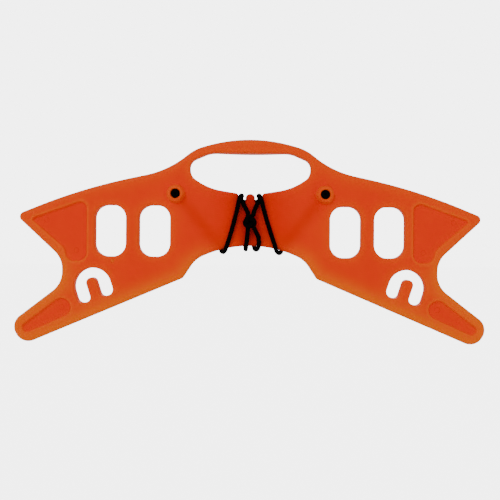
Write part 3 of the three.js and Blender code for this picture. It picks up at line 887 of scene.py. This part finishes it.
# The second colour is the painted highlight on the braid's crowns.
BRAID = braid_finish("black_braid", (0.0006, 0.0006, 0.0007, 1), (0.0035, 0.0035, 0.004, 1))
RUBBER = rubber_finish()

shown("moulded_plate", plate_mesh(), ORANGE, "orange_plastic", "yoke_plate")
shown("gate_nib", nib_mesh(), ORANGE, "orange_plastic")

ACROSS_X = (1, 0, 0)  # a direction that the runs never take
ACROSS_LOOP = (0.6, 0.6, -0.5)  # and one for the loop
right_run = cord_mesh("right_cord_run", run_line(RIGHT_ROUTE, ACROSS_X, 2.5))
left_run = cord_mesh("left_cord_run", run_line(LEFT_ROUTE, ACROSS_X, 2.5))
loop_run = cord_mesh("tongue_loop_run", run_line(LOOP_ROUTE, ACROSS_LOOP, 1.5))
shown("right_cord_run", right_run, BRAID, "cord_braid", "right_cord_sheath")
shown("left_cord_run", left_run, BRAID, "cord_braid", "left_cord_sheath")
shown("tongue_loop_run", loop_run, BRAID, "cord_braid", "tongue_loop_sheath")

centre_knot = knot_line(
    centre=(-0.4, -12.1, -75.3), ring=3.6, swing=1.4, depth=2.4, radius=2.2, turn=-0.52, squash=1.02
)
centre_mesh = cord_mesh("tied_centre_knot", centre_knot, True)
shown("tied_centre_knot", centre_mesh, BRAID, "cord_braid", "centre_knot")


def stopper(name, x):
    """A small knot in the boss's bore."""
    line = knot_line(centre=(x, -8.7, BOSS_Z), ring=2.3, swing=0.5, depth=1.6, radius=1.68, turn=0.3)
    return cord_mesh(name, line, True)


shown("right_stopper", stopper("right_stopper", BOSS_X), BRAID, "cord_braid", "right_stopper_knot")
shown("left_stopper", stopper("left_stopper", -BOSS_X), BRAID, "cord_braid", "left_stopper_knot")

for name in ("right_cord_core", "left_cord_core", "tongue_loop_core"):
    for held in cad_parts[name].material_slots:
        held.material = RUBBER

# ---- Floor, light and world --------------------------------------------------------------------

FLOOR_HALF = 6
FLOOR_Z = -0.26
FLOOR_GLOW = 5.0  # what the camera sees of the floor
PAPER_GLOW = 5.2  # what the camera sees of the room behind
ROOM_LIGHT = 0.46  # what lights the object from all around

floor_signs = [(-1, -1), (1, -1), (1, 1), (-1, 1)]
floor_corners = [(sx * FLOOR_HALF, sy * FLOOR_HALF, FLOOR_Z) for sx, sy in floor_signs]
floor_mesh = bpy.data.meshes.new("floor")
floor_mesh.from_pydata(floor_corners, [], [(0, 1, 2, 3)])
floor = bpy.data.objects.new("floor", floor_mesh)
bpy.context.scene.collection.objects.link(floor)


def floor_finish():
    """A plain white studio floor that looks about as bright as the paper behind it."""
    f = Finish("studio_floor")
    cloud = f.noise(3.0)
    colour = f.mixed(cloud, (0.86, 0.86, 0.86, 1), (0.9, 0.9, 0.9, 1))
    seen = f.node("ShaderNodeLightPath", output="Is Camera Ray")
    plain = f.node("ShaderNodeBsdfDiffuse", {}, {"Color": colour})
    glow = f.node("ShaderNodeEmission", {}, {"Color": (1, 1, 1, 1), "Strength": FLOOR_GLOW})
    both = f.node("ShaderNodeMixShader", {}, {0: seen, 1: plain, 2: glow})
    f.node("ShaderNodeOutputMaterial", {}, {"Surface": both})
    return f.material


floor_mesh.materials.append(floor_finish())

world = bpy.data.worlds.new("studio")
world.use_nodes = True
bpy.context.scene.world = world
sky = world.node_tree.nodes
sky.clear()
path = sky.new("ShaderNodeLightPath")
lit, paper = sky.new("ShaderNodeBackground"), sky.new("ShaderNodeBackground")
lit.inputs["Strength"].default_value = ROOM_LIGHT
paper.inputs["Strength"].default_value = PAPER_GLOW
for back in (lit, paper):
    back.inputs["Color"].default_value = (1, 1, 1, 1)
choice, out = sky.new("ShaderNodeMixShader"), sky.new("ShaderNodeOutputWorld")
join = world.node_tree.links.new
join(path.outputs["Is Camera Ray"], choice.inputs[0])
join(lit.outputs[0], choice.inputs[1])
join(paper.outputs[0], choice.inputs[2])
join(choice.outputs[0], out.inputs["Surface"])


def softbox(name, place, aim, size, power):
    """A square softbox at a place, pointing at its aim: metres across, and watts."""
    data = bpy.data.lights.new(name, "AREA")
    data.shape = "SQUARE"
    data.size = size
    data.energy = power
    lamp = bpy.data.objects.new(name, data)
    lamp.location = place
    facing = np.array(aim) - np.array(place)
    yaw = math.atan2(facing[1], facing[0]) - math.pi / 2
    pitch = math.acos(-facing[2] / np.linalg.norm(facing))
    lamp.rotation_euler = (pitch, 0, yaw)
    bpy.context.scene.collection.objects.link(lamp)


MIDDLE = (0, 0, -0.09)
softbox("key_light", (-0.8, -1.5, 0.9), MIDDLE, 1.0, 13.2)
softbox("fill_light", (1.1, -1.3, 0.1), MIDDLE, 1.2, 5.3)
softbox("back_light", (0.3, 1.5, 1.0), MIDDLE, 1.2, 14)

# ---- Boxes as plain lists ----------------------------------------------------------------------


def plain(box):
    """A box as plain lists of numbers."""
    return [list(map(float, corner)) for corner in box]
